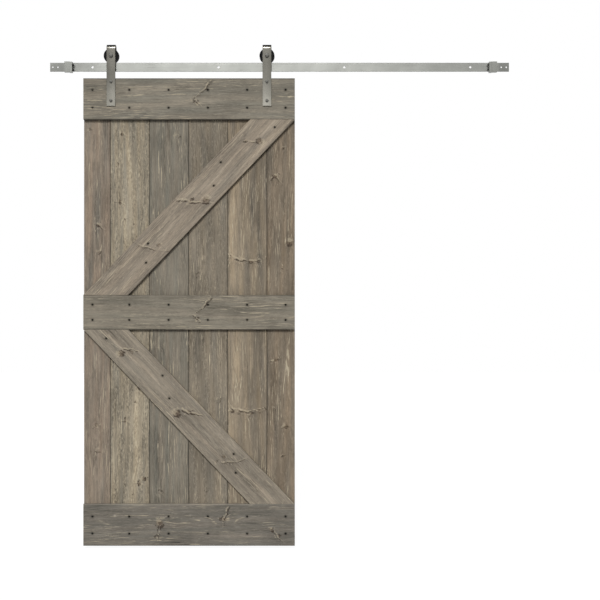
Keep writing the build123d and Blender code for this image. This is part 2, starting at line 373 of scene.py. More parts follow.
def brace_plank(name, rise):
    """A brace from one corner of its panel to the opposite one.

    Its lean is the angle of the panel's diagonal and the angle whose sine is the brace's width over
    the diagonal's length. Where it is cut level, it is as wide as its width over the lean's sine.
    """
    low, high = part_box(name)
    wide, tall = high.x - low.x, high.z - low.z
    lean = atan2(tall, wide) + asin(brace_width / hypot(tall, wide))
    start = low.z if rise > 0 else high.z
    along = (cos(lean), rise * sin(lean))
    return Plank(name, (low.x, start), along, (1 / sin(lean), 0), tall / sin(lean), brace_width, rail_edge)


planks = [board_plank(number) for number in range(1, 7)]
planks += [rail_plank(name) for name in ("top_rail", "middle_rail", "bottom_rail")]
planks += [brace_plank("upper_brace", 1), brace_plank("lower_brace", -1)]
for plank in planks:
    print(plank.name, round(plank.length, 3), "by", round(plank.width, 4), "metres")

# %% [markdown]
# ## Knots, branches and streaks
#
# Two boards are never alike, and the eye knows it. The knots were looked for one by one on each piece, and so
# were its pale and dark streaks, and they are written down as a short list, in millimetres from the leaf's
# top left corner. All finer figure is left to patterns that repeat nowhere.
# A knot is its place, half its length, half its width, and how dark it is. A branch that was sawn along
# its length is its two ends, its half width, how dark it is, and how far its middle sags. A streak is its
# place, half its length and width, how much lighter it is, and how much browner. The middle rail has the
# top rail's figure further down, so its lists are worked out from that rail's.
# One streak of the bottom rail is a painted highlight along its top edge, and one of the top rail is painted
# shade along the top of the door.

# %% The knots
KNOTS = {
    "board_1": [
        (25, 231, 7, 6, 0.8), (67, 668, 6, 9, 0.85), (66, 792, 9, 10, 0.6), (58, 1586, 6, 8, 0.9),
        (63, 1701, 9, 10, 0.5),
    ],
    "board_2": [
        (176, 250, 10, 5, 0.9), (158, 390, 6, 5, 0.8), (168, 564, 12, 6, 0.95), (186, 640, 7, 4, 0.75),
        (223, 665, 7, 6, 0.6), (236, 720, 5, 5, 0.5), (235, 1475, 5, 5, 0.7), (201, 1504, 6, 5, 0.65),
        (189, 1566, 14, 5, 0.8), (253, 1410, 10, 8, 0.9), (272, 1830, 9, 9, 1), (254, 1851, 13, 7, 1),
        (225, 1897, 8, 4, 0.7),
    ],
    "board_3": [
        (427, 260, 12, 12, 0.4), (345, 1235, 12, 12, 0.4), (347, 1896, 11, 13, 0.55),
    ],
    "board_4": [
        (606, 373, 14, 9, 0.4), (524, 902, 14, 10, 0.5), (615, 1468, 16, 9, 0.4),
        (560, 1874, 14, 10, 0.4),
    ],
    "board_5": [
        (670, 818, 6, 14, 0.7), (708, 829, 7, 10, 0.6), (765, 837, 6, 9, 0.85), (802, 834, 6, 8, 0.65),
        (834, 818, 5, 4, 0.9), (672, 1520, 6, 12, 0.75), (706, 1526, 7, 10, 0.6),
        (763, 1532, 6, 9, 0.85), (800, 1525, 6, 8, 0.6), (832, 1514, 5, 5, 0.9),
    ],
    "board_6": [
        (911, 314, 6, 6, 0.6), (877, 445, 8, 11, 0.8), (941, 749, 13, 12, 0.95), (909, 876, 6, 5, 0.8),
        (877, 1287, 8, 11, 0.8), (922, 1589, 9, 9, 0.95), (907, 1724, 5, 5, 0.8), (873, 1509, 7, 7, 0.5),
    ],
    "top_rail": [
        (519, 111, 14, 8, 0.65), (499, 95, 9, 6, 0.5),
    ],
    "bottom_rail": [
        (348, 2030, 18, 18, 0.8), (341, 2093, 14, 6, 0.6), (642, 2012, 16, 10, 0.8),
        (859, 2059, 12, 9, 0.7), (889, 2089, 12, 6, 0.6), (131, 2086, 7, 6, 0.5),
    ],
    "upper_brace": [
        (742, 284, 9, 8, 0.7), (806, 288, 13, 13, 1.0), (562, 556, 15, 15, 1.0), (489, 560, 16, 6, 0.75),
        (346, 759, 9, 7, 0.8), (384, 785, 7, 6, 0.65),
    ],
    "lower_brace": [
        (171, 1256, 14, 14, 1.0), (223, 1247, 9, 8, 0.7), (425, 1529, 15, 15, 1.0),
        (480, 1521, 16, 6, 0.8), (607, 1750, 8, 7, 0.65), (642, 1726, 9, 7, 0.8),
    ],
}
rail_drop = 989  # from a place on the top rail to the like place on the middle one
KNOTS["middle_rail"] = [(right, down + rail_drop, *rest) for right, down, *rest in KNOTS["top_rail"]]
print("There are", sum(map(len, KNOTS.values())), "knots")

# %% The branches that lie in the face
SPIKES = {
    "board_5": [(664, 806, 832, 818, 8, 1.0, 20), (664, 1500, 830, 1500, 8, 1.0, 22)],
    "board_6": [(846, 462, 904, 428, 6, 0.9, 0), (852, 1296, 900, 1270, 6, 0.8, 0)],
    "top_rail": [(586, 4, 506, 88, 7, 1.0, 8), (502, 92, 541, 130, 5, 0.9, 0)],
    "bottom_rail": [
        (662, 1952, 626, 2034, 7, 0.9, 6), (352, 2040, 334, 2106, 5, 0.8, 4),
        (868, 2058, 914, 2118, 6, 0.9, 6),
    ],
    "upper_brace": [
        (728, 280, 800, 292, 6, 0.9, 4), (430, 552, 584, 568, 8, 1.1, 6), (232, 750, 388, 786, 6, 0.9, 10),
    ],
    "lower_brace": [
        (172, 1238, 258, 1248, 6, 0.9, -6), (436, 1508, 556, 1538, 8, 1.1, 6),
        (628, 1752, 768, 1726, 6, 0.9, 10),
    ],
}
branch_drop = 988
SPIKES["middle_rail"] = [
    (right_1, down_1 + branch_drop, right_2, down_2 + branch_drop, *rest)
    for right_1, down_1, right_2, down_2, *rest in SPIKES["top_rail"]
]
print("There are", sum(map(len, SPIKES.values())), "branches")

# %% The streaks
SPOTS = {
    "board_1": [
        (17, 656, 90, 20, 0.1, 0.8), (31, 396, 80, 12, 0, 0.5), (95, 579, 60, 12, -0.1, 0),
        (47, 455, 45, 4, 0.22, 0), (49, 884, 60, 4, 0.22, 0.1), (84, 1391, 50, 5, 0.15, 0.4),
        (82, 1810, 70, 5, 0.2, 0.3), (67, 1605, 150, 40, 0.03, 0.6), (13, 1468, 80, 14, -0.08, -0.5),
    ],
    "board_2": [
        (209, 373, 180, 12, 0.2, 0.3), (195, 624, 160, 18, 0.2, 0.2), (209, 784, 100, 18, 0.12, 0.4),
        (136, 556, 300, 8, -0.1, -0.5), (286, 282, 100, 12, -0.05, 0), (140, 1468, 250, 14, -0.1, -0.3),
        (236, 1582, 200, 20, 0.2, 0.6), (241, 1719, 140, 12, 0.18, 0.6), (168, 1810, 150, 12, -0.12, 0.2),
        (134, 1700, 110, 4, 0.3, 0), (212, 1720, 60, 4, 0.3, 0),
    ],
    "board_3": [
        (405, 387, 32, 6, 0.2, 0.2), (369, 1770, 34, 6, 0.2, 0.2), (337, 282, 120, 25, 0, -0.8),
        (380, 1240, 110, 14, -0.1, 0.6), (307, 1194, 80, 6, -0.12, 0.6), (432, 282, 60, 10, -0.06, -0.3),
        (423, 1377, 120, 18, 0, 0.6), (327, 1696, 200, 15, -0.08, -0.6),
    ],
    "board_4": [
        (565, 328, 110, 70, -0.12, -0.4), (505, 761, 90, 10, 0.14, 0.3), (633, 693, 150, 10, -0.06, 0),
        (597, 1331, 140, 12, 0.1, 0.5), (487, 1240, 80, 8, -0.14, 0), (556, 1788, 120, 50, -0.1, -0.4),
    ],
    "board_5": [
        (797, 1000, 3000, 40, -0.17, -0.2), (688, 624, 220, 28, 0.20, 0.9),
        (702, 282, 80, 22, 0.12, 0.4), (802, 510, 260, 26, -0.13, -0.3),
        (797, 761, 40, 14, -0.04, 0.9), (763, 670, 50, 3, 0.16, 0.3), (717, 818, 4, 9, 0.5, 0.3),
        (697, 1286, 190, 28, 0.12, 0.9), (802, 1286, 200, 26, -0.13, -0.2),
        (762, 1340, 45, 3, 0.16, 0.3), (797, 1459, 40, 14, -0.04, 0.9), (717, 1514, 4, 9, 0.5, 0.3),
        (679, 1605, 70, 18, 0.1, 0.6), (797, 1742, 150, 26, -0.1, -0.2), (683, 898, 60, 18, 0.08, 0.5),
    ],
    "board_6": [
        (907, 693, 500, 4, 0.1, 0.3), (852, 328, 120, 12, -0.1, -0.5), (943, 328, 80, 14, 0.05, 0.9),
        (943, 670, 80, 12, 0, 0.9), (852, 852, 60, 14, -0.12, -0.4), (939, 1468, 140, 12, 0.05, 0.9),
        (852, 1651, 100, 12, -0.14, -0.2), (907, 1468, 80, 4, 0.14, 0.3),
    ],
    "top_rail": [
        (305, 90, 250, 6, 0.1, 0.3), (305, 115, 200, 5, 0.1, 0.3), (615, 104, 180, 12, 0.12, 0.4),
        (45, 63, 60, 50, -0.03, 0.7), (357, 163, 12, 5, 0.3, 0), (216, 166, 9, 5, 0.22, 0),
        (446, 163, 25, 5, 0.18, 0), (168, 40, 150, 25, -0.08, -0.2), (916, 45, 70, 40, -0.08, -0.4),
        (569, 154, 120, 14, 0.08, 0.1), (576, 22, 11, 9, -0.28, 0), (560, 42, 11, 7, -0.26, 0),
        (542, 63, 10, 5, -0.24, 0), (526, 81, 9, 4, -0.2, 0), (505, 45, 14, 16, 0.06, 0.6),
    ],
    "bottom_rail": [
        (99, 1988, 110, 40, -0.09, 0), (213, 2070, 200, 20, 0.05, -0.3), (144, 1995, 5, 5, 1.2, 0),
        (489, 1994, 4, 4, 0.6, 0), (533, 2043, 250, 8, 0.06, 0.3), (715, 2080, 160, 16, 0.06, 0.4),
        (852, 2052, 50, 5, 0.16, 0.3), (647, 1979, 20, 12, -0.2, 0), (934, 2084, 40, 20, -0.14, -0.3),
        # The last entry here is a painted highlight: a bright line along the bottom rail's rounded top edge.
        (168, 2048, 90, 4, 0.1, 0.3), (482, 1944, 900, 3, 0.9, 0.2),
    ],
    "upper_brace": [
        (829, 241, 70, 3, 0.28, 0.2), (852, 227, 60, 3, 0.22, 0.2), (749, 323, 40, 4, 0.34, 0.3),
        (683, 364, 120, 4, 0.2, 0.2), (597, 464, 70, 3, 0.2, 0.2), (423, 656, 70, 4, 0.28, 0.3),
        (469, 620, 60, 3, 0.2, 0.2), (245, 857, 60, 4, 0.22, 0.3), (286, 825, 60, 3, 0.18, 0.3),
        (177, 953, 60, 3, 0.16, 0.3), (264, 770, 9, 26, -0.14, 0.2), (697, 250, 140, 20, 0.03, 0.3),
        (660, 442, 60, 30, -0.04, -0.7), (533, 501, 120, 16, 0.06, 0.4),
    ],
    "lower_brace": [
        (136, 1194, 70, 3, 0.28, 0.2), (118, 1181, 60, 3, 0.2, 0.2), (241, 1295, 50, 4, 0.34, 0.3),
        (314, 1363, 60, 4, 0.26, 0.3), (350, 1423, 90, 3, 0.2, 0.2), (423, 1473, 60, 3, 0.18, 0.2),
        (574, 1637, 60, 4, 0.24, 0.3), (749, 1819, 50, 4, 0.28, 0.4), (797, 1865, 70, 3, 0.22, 0.4),
        (729, 1847, 60, 3, 0.2, 0.4), (720, 1728, 9, 26, -0.14, 0), (122, 1249, 60, 30, -0.03, -0.7),
        (232, 1363, 60, 26, -0.03, -0.7), (825, 1888, 70, 30, 0.06, 0.6),
    ],
}
SPOTS["middle_rail"] = [(right, down + rail_drop, *rest) for right, down, *rest in SPOTS["top_rail"]]
SPOTS["top_rail"].append((482, 0, 900, 4, -0.4, 0))  # painted shade along the top of the door
print("There are", sum(map(len, SPOTS.values())), "streaks")

# %% [markdown]
# ## The stain on each piece
#
# A grey stain takes differently on each board: some turn out tan, some olive, some slate. So each piece
# has a cool and a warm screen colour, and the streaks move it from one to the other. Then comes the log's
# heart, which sets how the rings cut the face: where it lies, as a share of the width, and how many
# millimetres behind the face. Last is how rough the saw left the face.

# %% Colours, hearts and roughness of the pieces
STAINS = {
    "board_1": ((126, 119, 108), (144, 128, 111), 0.35, 40, 0.3),
    "board_2": ((136, 130, 117), (158, 145, 123), 0.6, 26, 1.0),
    "board_3": ((121, 117, 106), (132, 123, 109), 0.1, 60, 0.2),
    "board_4": ((122, 115, 103), (137, 126, 109), 0.5, 18, 0.6),
    "board_5": ((120, 112, 100), (154, 139, 117), 0.2, 50, 0.3),
    "board_6": ((118, 109, 96), (136, 121, 102), 0.7, 34, 0.35),
    "top_rail": ((123, 119, 108), (138, 130, 116), 0.55, 30, 0.3),
    "middle_rail": ((122, 117, 105), (136, 128, 114), 0.5, 34, 0.3),
    "bottom_rail": ((109, 106, 98), (122, 115, 105), 0.4, 24, 0.25),
    "upper_brace": ((136, 127, 114), (156, 143, 126), 0.45, 22, 0.35),
    "lower_brace": ((130, 123, 111), (150, 139, 123), 0.55, 22, 0.35),
}
print("Each of", len(STAINS), "pieces has a cool and a warm stain")

# %% [markdown]
# ## The shape of a plank
#
# A plank could be a plain box with a bump pattern, but then its outline is dead straight and its knots
# don't catch the light. Here the section of each plank, with its tongue and groove, is carried along it
# in short steps, and the points of its face are let in by up to half a millimetre along the grain and
# at the knots. The face is never raised, so every plank stays within its solid.


# %% The section of a plank
across_pitch = 3.0 * mm  # from one point of a face to the next
along_pitch = 5.0 * mm
back_pitch = 20.0 * mm


def steps(size, edge, pitch):
    """Places along a size: close together on its two rounded edges, and evenly between them."""
    rounded = edge * np.array([0.0, 0.15, 0.4, 0.7, 1.0])
    even = np.linspace(edge, size - edge, round((size - 2 * edge) / pitch) + 1)[1:-1]
    return np.concatenate([rounded, even, (size - rounded)[::-1]])


def section(plank):
    """The loop round a plank as v, w and whether the point is on the face: face, right, back, left."""
    thick = plank.back - plank.front
    half, size = thick / 2, plank.width
    face = steps(size, plank.edge, across_pitch)
    back = np.linspace(size, 0, round(size / back_pitch) + 1)
    right = [(size, half)]
    left = [(0, half)]
    if plank.name.startswith("board"):
        reach = size + tongue_length + board_gap / 2
        tongue = [(size, half - tongue_half), (reach, half - tongue_half)]
        groove = [(0, half + groove_half), (groove_depth, half + groove_half)]
        if plank.name != "board_6":
            right = tongue + [(v, thick - w) for v, w in tongue[::-1]]
        if plank.name != "board_1":
            left = groove + [(v, thick - w) for v, w in groove[::-1]]
    v = np.concatenate([face, [p[0] for p in right], back, [p[0] for p in left]])
    w = np.concatenate([0 * face, [p[1] for p in right], 0 * back + thick, [p[1] for p in left]])
    return v, w, np.arange(len(v)) < len(face)


for plank in planks[:2]:
    print(plank.name, "has", len(section(plank)[0]), "points round it")


# %% Soft patterns
def ripples(u, v, seed, long, wide, waves=16):
    """Streaks from about -1 to 1: the sum of sine waves of many lengths and widths."""
    chance = np.random.default_rng(seed)
    total = 0.0 * (u + v)
    for _ in range(waves):
        slope = chance.choice([-1, 1]) / (long * chance.uniform(0.5, 2.0))
        total += np.sin(2 * pi * (u * slope + v / (wide * chance.uniform(0.5, 2.0)) + chance.uniform()))
    return total / np.sqrt(waves)


def fall(distance, reach):
    """1 at no distance, and softly down to 0: e to the minus of the square of the distance over the reach."""
    return np.exp(-((distance / reach) ** 2))


def bell(u, v, middle, long, wide):
    """A soft spot: the fall along the grain times the fall across it."""
    return fall(u - middle[0], long) * fall(v - middle[1], wide)


def edge_round(u, v, plank, ends):
    """How far a rounded edge falls back: a quarter circle over the last part before each edge."""
    near_side = np.minimum(v, plank.width - v) / plank.edge
    near_end = np.minimum(u, plank.length - u) / plank.edge if ends else 1 + 0 * u
    out = np.hypot(np.clip(1 - near_side, 0, 1), np.clip(1 - near_end, 0, 1))
    return plank.edge * (1 - np.sqrt(1 - np.clip(out, 0, 1) ** 2))


print("A ripple at one place:", round(float(ripples(0.1, 0.2, 1, 0.3, 0.01)), 3))


# %% Carry the section along the plank
grain_relief = 0.13 * mm  # how deep the face is worn along the grain
knot_dip = 0.5 * mm  # how far a dark knot's middle has sunk
knot_rise = 0.2 * mm  # and how far the wood round it has not
deepest = 0.8 * mm


def plank_shape(plank, seed):
    """The points and faces of a plank, and the u, v and w of each point.

    A point is the corner plus v across, plus u along, plus w into the wood. On the face, w is the
    larger of the rounded edge and the relief: shallow ripples along the grain, and a dip at each knot.
    """
    ends = not plank.name.startswith("board")
    v, w, on_face = section(plank)
    if ends:
        u = steps(plank.length, plank.edge * abs(plank.square @ plank.across), along_pitch)
    else:
        u = np.linspace(0, plank.length, round(plank.length / along_pitch) + 1)
    u, v = u[:, None] + 0 * v, v + 0 * u[:, None]
    grain_u, grain_v = u + v * plank.skew, v
    relief = grain_relief * (1 + ripples(grain_u, grain_v, seed, 0.5, 16 * mm))
    for right, down, long, wide, dark in KNOTS[plank.name]:
        middle = plank.spot(right, down)
        relief += knot_dip * dark * bell(grain_u, grain_v, middle, 0.8 * long * mm, 0.8 * wide * mm)
        relief -= knot_rise * dark * bell(grain_u, grain_v, middle, 2.2 * long * mm, 2.0 * wide * mm)
    face = np.maximum(edge_round(u, v, plank, ends), np.clip(relief, 0, deepest))
    w = np.where(on_face, face, w)
    points = plank.corner + v[..., None] * plank.across + u[..., None] * plank.along
    points[..., 1] += w
    return points, loop_faces(*v.shape), grain_u, grain_v, w


points = plank_shape(planks[0], 1)[0]
print("The first board's mesh has", points.shape[0], "loops of", points.shape[1], "points")

# %% [markdown]
# ## Wood that grows round its knots
#
# Growth rings are shells round the log's heart. Where the heart wanders nearer to a face and away
# again, the shells cut it in long arches, which is the figure of a flat-sawn board. A pattern of bands
# drawn on the face would look printed, and would stop at the edge. So each point only stores where it
# lies in the log, and the finish works out the distance from the heart: the same sum then draws arches
# on the face, lines on the edges and arcs on the end grain. A knot adds a bulge to that distance, which
# bends the rings round it.


# %% Knots, branches and the grain round them
knot_size = 1.3  # the brown spot, in half lengths and half widths of the knot
bulge_long = 4.0  # how far the rings bend round it
bulge_wide = 2.6
ring_size = 1.1  # the ring round it
ring_soft = 0.5
fine_strength = 0.6  # the finer rings inside, and how many there are in a half length
fine_rings = 0.9
tail_half = 4.0 * mm  # half the width of the bent grain that runs across a knot
tail_strength = 1.5
branch_strength = 2.2  # the thin lines along a branch, and how close together they lie
branch_waves = 2.3


def rim_and_rings(ahead, beside, turn):
    """A soft ring round a knot, dark on one side and pale on the other, and finer rings inside it.

    The ring is the fall on both sides of it, times the cosine of the way round. The finer rings are a
    cosine of the distance from the middle, which is counted in half lengths and half widths.
    """
    away = np.hypot(ahead, beside) + 0.01
    rim = fall(away - ring_size, ring_soft) * (ahead * cos(turn) + beside * sin(turn)) / away
    return rim + fine_strength * np.cos(2 * pi * fine_rings * away) * fall(away, knot_size)


def bent_grain(ahead, beside, slant, reach):
    """A line across a knot, dark on one side and pale on the other, which bends to and fro as it runs out.

    With over as the distance from the line in half widths, it is over times the fall of over.
    """
    across = beside * cos(slant) + ahead * sin(slant)
    over = ahead * cos(slant) - beside * sin(slant)
    over = (over - 0.25 * across * np.sin(across / reach * 3)) / tail_half
    return over * fall(over, 1) * fall(across, reach)


def knot_marks(plank, u, v, seed):
    """The knots' soft spots, their bulge, which is spread wider, and the crescents round them."""
    knot, bulge, crescent = 0 * u, 0 * u, 0 * u
    chance = np.random.default_rng(seed + 300)
    for right, down, long, wide, dark in KNOTS[plank.name]:
        middle, long, wide = plank.spot(right, down), long * mm, wide * mm
        ahead, beside = u - middle[0], v - middle[1]
        knot = np.maximum(knot, dark * bell(u, v, middle, knot_size * long, knot_size * wide))
        bulge += dark * bell(u, v, middle, bulge_long * long, bulge_wide * wide)
        crescent += dark * rim_and_rings(ahead / long, beside / wide, chance.uniform(0, 2 * pi))
        slant = chance.uniform(-0.7, 0.7)
        reach = chance.uniform(2.0, 4.0) * (wide + tail_half)
        crescent += tail_strength * dark * bent_grain(ahead, beside, slant, reach)
    return knot, bulge, crescent


def branch_marks(plank, points):
    """Thin pale and dark lines along each branch in the face, its soft brown core and its dark lower side.

    With a counted along the branch in half lengths and b across it in half widths, the core falls with
    the fourth power of a and the square of b, and the mark is the core times a sine of b that comes and
    goes along a. The branch grows thinner from its first end to its second.
    """
    mark, core, under = 0 * points[..., 0], 0 * points[..., 0], 0 * points[..., 0]
    right = (points[..., 0] - leaf_left) / mm
    down = (leaf_top - points[..., 2]) / mm
    for right_1, down_1, right_2, down_2, wide, dark, sag in SPIKES.get(plank.name, []):
        half = hypot(right_2 - right_1, down_2 - down_1) / 2
        turn = atan2(down_2 - down_1, right_2 - right_1)
        turn = turn if cos(turn) > 0 else turn + pi
        off_right, off_down = right - (right_1 + right_2) / 2, down - (down_1 + down_2) / 2
        a = (off_right * cos(turn) + off_down * sin(turn)) / half
        thick = wide * np.clip(0.7 + 0.35 * a * np.sign(right_1 - right_2), 0.3, 1.1)
        b = (off_down * cos(turn) - off_right * sin(turn) - sag * (1 - a**2)) / thick
        b += 0.4 * np.sin(7 * a + down_1) + 0.2 * np.sin(17 * a + right_1)
        soft = dark * np.exp(-(a**4)) * fall(b, 1.5)
        come_and_go = 0.65 + 0.35 * np.sin(5 * a + right_1) * np.sin(11 * a + down_2)
        mark += branch_strength * np.sin(branch_waves * b) * soft * come_and_go
        core = np.maximum(core, 0.5 * soft)
        below = np.clip(b, 0, 30)
        under += dark * below * np.exp(-(a**4) - below / 2.5)
    return mark, core, under


print("Round a knot the rings bend over", bulge_long, "times its length and", bulge_wide, "times its width")

# %% Painted shade in the corners
joint_dark = 0.42  # how much darker the painted shade is beside a joint between boards
joint_shade = 2.4 * mm  # and how far it reaches
rail_dark = 0.4  # painted shade along the edges of a rail
cover_dark = 0.8  # painted shadow below a rail or a brace
cover_shade = 3.6 * mm
face_depth = 3.0 * mm  # only the face gets the painted shadow there
screw_dark = 1.2  # round a screw
screw_shade = 5.5 * mm
covers = planks[6:]


def painted_cover_shadow(points):
    """A painted shadow on the boards from 0 to 1: strongest along the lower edge of each rail and brace."""
    darkening = 0 * points[..., 0]
    for cover in covers:
        low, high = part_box(cover.name)
        across = cover.place(points)[1]
        below = -across if cover.name == "lower_brace" else across - cover.width
        beside = (points[..., 2] < high.z) & (points[..., 2] > low.z - 3 * cover_shade)
        darkening = np.maximum(darkening, beside * fall(below, cover_shade))
    return darkening


def painted_shade_and_screw_rings(plank, points, u, v, w):
    """How much darker each point is: painted shade beside joints and along rail edges, a painted shadow below
    rails and braces, and a dark ring round each screw.
    """
    left, right = fall(v, joint_shade), fall(plank.width - v, joint_shade)
    if plank.name.startswith("board"):
        joints = left * (plank.name != "board_1") + right * (plank.name != "board_6")
        return joint_dark * joints + cover_dark * painted_cover_shadow(points) * (w < face_depth)
    darkening = rail_dark * np.maximum(left, right) * plank.name.endswith("rail")
    for low, high in islands(plank.name + "_screws"):
        darkening = darkening + screw_dark * bell(u, v, plank.place((low + high) / 2), screw_shade, screw_shade)
    return darkening


# The darkening below rails and braces is a painted shadow.
print("Dirt gathers below", len(covers), "rails and braces")


# %% What each point of the wood stores
streak_swing = 0.045  # how much lighter or darker the broad streaks are
warm_swing = 0.25  # and how much warmer or cooler
warm_share = 0.38  # how far a listed streak turns the stain
under_dark = 0.14  # the lower side of a branch
bulge_rings = 1.6  # how many rings a bulge moves


def wood_marks(plank, points, u, v, w, seed):
    """Place in the log, marks, crescents and stain of each point, with painted shade in the stain.

    The marks are the knot, the bulge and how rough the saw left the face. The stain goes from cool to warm
    with the streaks, and each streak also makes it lighter or darker. Painted shade beside joints and along
    rail edges, and a painted shadow below rails and braces, then darken it.
    """
    cool, warm, heart, depth, saw = STAINS[plank.name]
    log = np.stack([v - heart * plank.width, u + 7.3 * seed, w + depth * mm], -1)
    knot, bulge, crescent = knot_marks(plank, u, v, seed)
    branch, core, under = branch_marks(plank, points)
    light = streak_swing * ripples(u, v, seed + 50, 0.5, 22 * mm) - under_dark * under
    brown = 0.5 + warm_swing * ripples(u, v, seed + 90, 0.7, 45 * mm)
    for right, down, long, wide, lighter, browner in SPOTS[plank.name]:
        spot = bell(u, v, plank.spot(right, down), long * mm, wide * mm)
        light += lighter * spot
        brown += warm_share * browner * spot
    # Painted shade at joints and rail edges and a painted shadow below rails and braces darken the stain
    # here.
    light = light - painted_shade_and_screw_rings(plank, points, u, v, w)
    brown = np.clip(brown, 0, 1)[..., None]
    stain = np.array(colour(*cool)) * (1 - brown) + np.array(colour(*warm)) * brown
    stain[..., :3] *= np.clip(1 + light, 0.1, 2.2)[..., None]
    rough = saw * np.clip(0.6 + 0.5 * ripples(u, v, seed + 20, 0.4, 30 * mm), 0, 1)
    marks = np.stack([np.maximum(knot, core), bulge_rings * (bulge + core), rough], -1)
    return log, marks, crescent + branch, np.clip(stain, 0, 1)


def store(piece, name, kind, key, values):
    """Keeps an array on the piece, one entry for each point."""
    layer = piece.data.attributes.new(name, kind, "POINT")
    layer.data.foreach_set(key, np.ascontiguousarray(values, np.float32).ravel())


print("A point stores its place in the log, three marks, a crescent and a stain")

# %% [markdown]
# ## The finish of stained pine
#
# Up close the wood has several layers of figure: the rings, with a hard dark line at the end of each
# year, fine threads of grain, broad soft streaks of stain, a grey bloom where the sawn face is rough, and
# pale lines where the raised grain is rubbed through. A knot is brown, with a pale and a dark side, rings
# and bent grain, and a branch has a brown core and thin pale and dark lines along it. Each layer is a
# pattern stretched along the grain. The tones multiply the stain, and the rubbed and dark marks lie
# over it.

# %% Growth rings
ring_count = 125.0  # growth rings in a metre of log

pine = Finish("stained_pine", roughness=0.78)
log = pine.attribute("log")["Vector"]
knot, bulge, rough = pine.parts(pine.attribute("marks")["Vector"])
# The stain attribute holds the stain together with painted shade, a painted shadow below rails and braces,
# and a painted highlight.
stain = pine.attribute("stain")["Color"]
crescent = pine.attribute("crescent")["Fac"]


def grown(place, across, along, detail=3.0, rough=0.55):
    """Noise drawn out along the grain, by its clouds a metre across the grain and along it."""
    return pine.noise(place, (across, along, across), detail, rough)


wander = pine.parts(pine.noise(log, (0.0, 1.7, 0.0), 1.0, 0.5, "Color"))
place = pine.parts(log)
side = pine.plus(place[0], pine.swing(wander[0], 0.07))
deep = pine.plus(place[2], pine.swing(wander[1], 0.05))
far = pine.math("SQRT", pine.plus(pine.times(side, side), pine.times(deep, deep)))
warp = pine.swing(grown(log, 22.0, 5.0, 2.0), 2.4)
year = pine.math("FRACT", pine.plus(pine.times(far, ring_count), pine.plus(bulge, warp)))
year_end = pine.minus(1.0, pine.between(year, 0.90, 1.0))
late = pine.times(pine.between(year, 0.35, 0.9), year_end)  # the dark wood of each year's end
line = pine.times(pine.between(year, 0.62, 0.86), year_end)  # its hard last part, which stands proud
print("A board's width cuts through about", round(ring_count * planks[1].width), "rings")

# %% Grain, streaks and rough patches
bend = pine.vector("SUBTRACT", pine.noise(log, (14.0, 9.0, 14.0), 3.0, 0.5, "Color"), (0.5, 0.5, 0.5))
flow = pine.vector("ADD", log, pine.vector("MULTIPLY", bend, (0.012, 0.0, 0.012)))

fibre = grown(flow, 1100.0, 16.0, 3.0, 0.65)
grain = grown(flow, 420.0, 7.0, 4.0, 0.6)
streak = grown(flow, 105.0, 4.0, 4.0, 0.6)
figure = grown(flow, 190.0, 12.0, 4.0, 0.6)
patch = grown(log, 12.0, 4.2, 4.0, 0.6)
sawn = grown(flow, 190.0, 62.0, 4.0, 0.7)
ragged = grown(flow, 260.0, 90.0, 4.0)
busy = pine.between(grown(log, 14.0, 3.0), 0.45, 0.62)  # where the figure is lively
worn = pine.between(grown(flow, 24.0, 3.0), 0.47, 0.58)  # where hands and weather rub
broken = pine.between(grown(flow, 150.0, 9.0), 0.42, 0.54)  # what breaks a rubbed line into dashes
print("The patterns take", len(pine.tree.nodes), "nodes")

# %% Lay the patterns over each other
base_level = 0.95  # the stain at its middle tone
pale_rub = colour(186, 174, 150)
knot_dark = colour(58, 48, 40)
knot_brown = colour(86, 70, 55)

lively = pine.plus(0.2, pine.times(busy, 0.9))
shade = pine.plus(
    base_level, pine.swing(streak, 0.5), pine.swing(fibre, 1.0), pine.swing(grain, 0.7),
    pine.times(pine.swing(figure, 1.0), lively), pine.swing(patch, 0.9),
)
dark_lines = pine.times(late, pine.plus(0.09, pine.times(busy, 0.12)))
speckle = pine.times(pine.swing(sawn, 2.2), rough)
wood = pine.tinted(stain, pine.plus(pine.minus(shade, dark_lines), speckle))

thready = pine.between(grain, 0.42, 0.56)
cream = pine.times(pine.between(sawn, 0.55, 0.68), rough)
wood = pine.mix(pine.times(worn, line, pine.times(broken, thready)), wood, pale_rub)
wood = pine.mix(pine.times(cream, 0.45), wood, pale_rub)

shown = pine.times(crescent, pine.plus(1.0, pine.swing(ragged, 6.0)))
dark_side = pine.between(shown, 0.10, 0.8)
pale_side = pine.between(pine.minus(0.0, shown), 0.12, 0.8)
wood = pine.mix(pine.times(pine.between(knot, 0.35, 0.75), 0.65), wood, knot_brown)
wood = pine.mix(pine.times(pale_side, 0.5), wood, pale_rub)
wood = pine.mix(pine.times(dark_side, 0.85), wood, knot_dark)

pine.set("Base Color", wood)
pine.set("Specular IOR Level", 0.25)
pine.set("Roughness", pine.minus(0.92, pine.times(late, 0.18)))
relief = pine.plus(
    pine.times(fibre, 0.8), pine.times(late, 0.45), pine.times(sawn, rough, 1.2), pine.times(streak, 0.5),
)
pine.bump(relief, 0.5 * mm, 0.8)
print("Stained pine has", len(pine.tree.nodes), "nodes")

# %% Make the eleven pieces of wood
for seed, plank in enumerate(planks, 1):
    points, faces, u, v, w = plank_shape(plank, seed)
    shape = points.reshape(-1, 3), faces
    piece = add_piece("worn_" + plank.name, shape, "door", pine, plank.name, 50.0)
    places, marks, crescents, stains = wood_marks(plank, points, u, v, w, seed)
    store(piece, "log", "FLOAT_VECTOR", "vector", places)
    store(piece, "marks", "FLOAT_VECTOR", "vector", marks)
    store(piece, "crescent", "FLOAT", "value", crescents)
    store(piece, "stain", "FLOAT_COLOR", "color", stains)

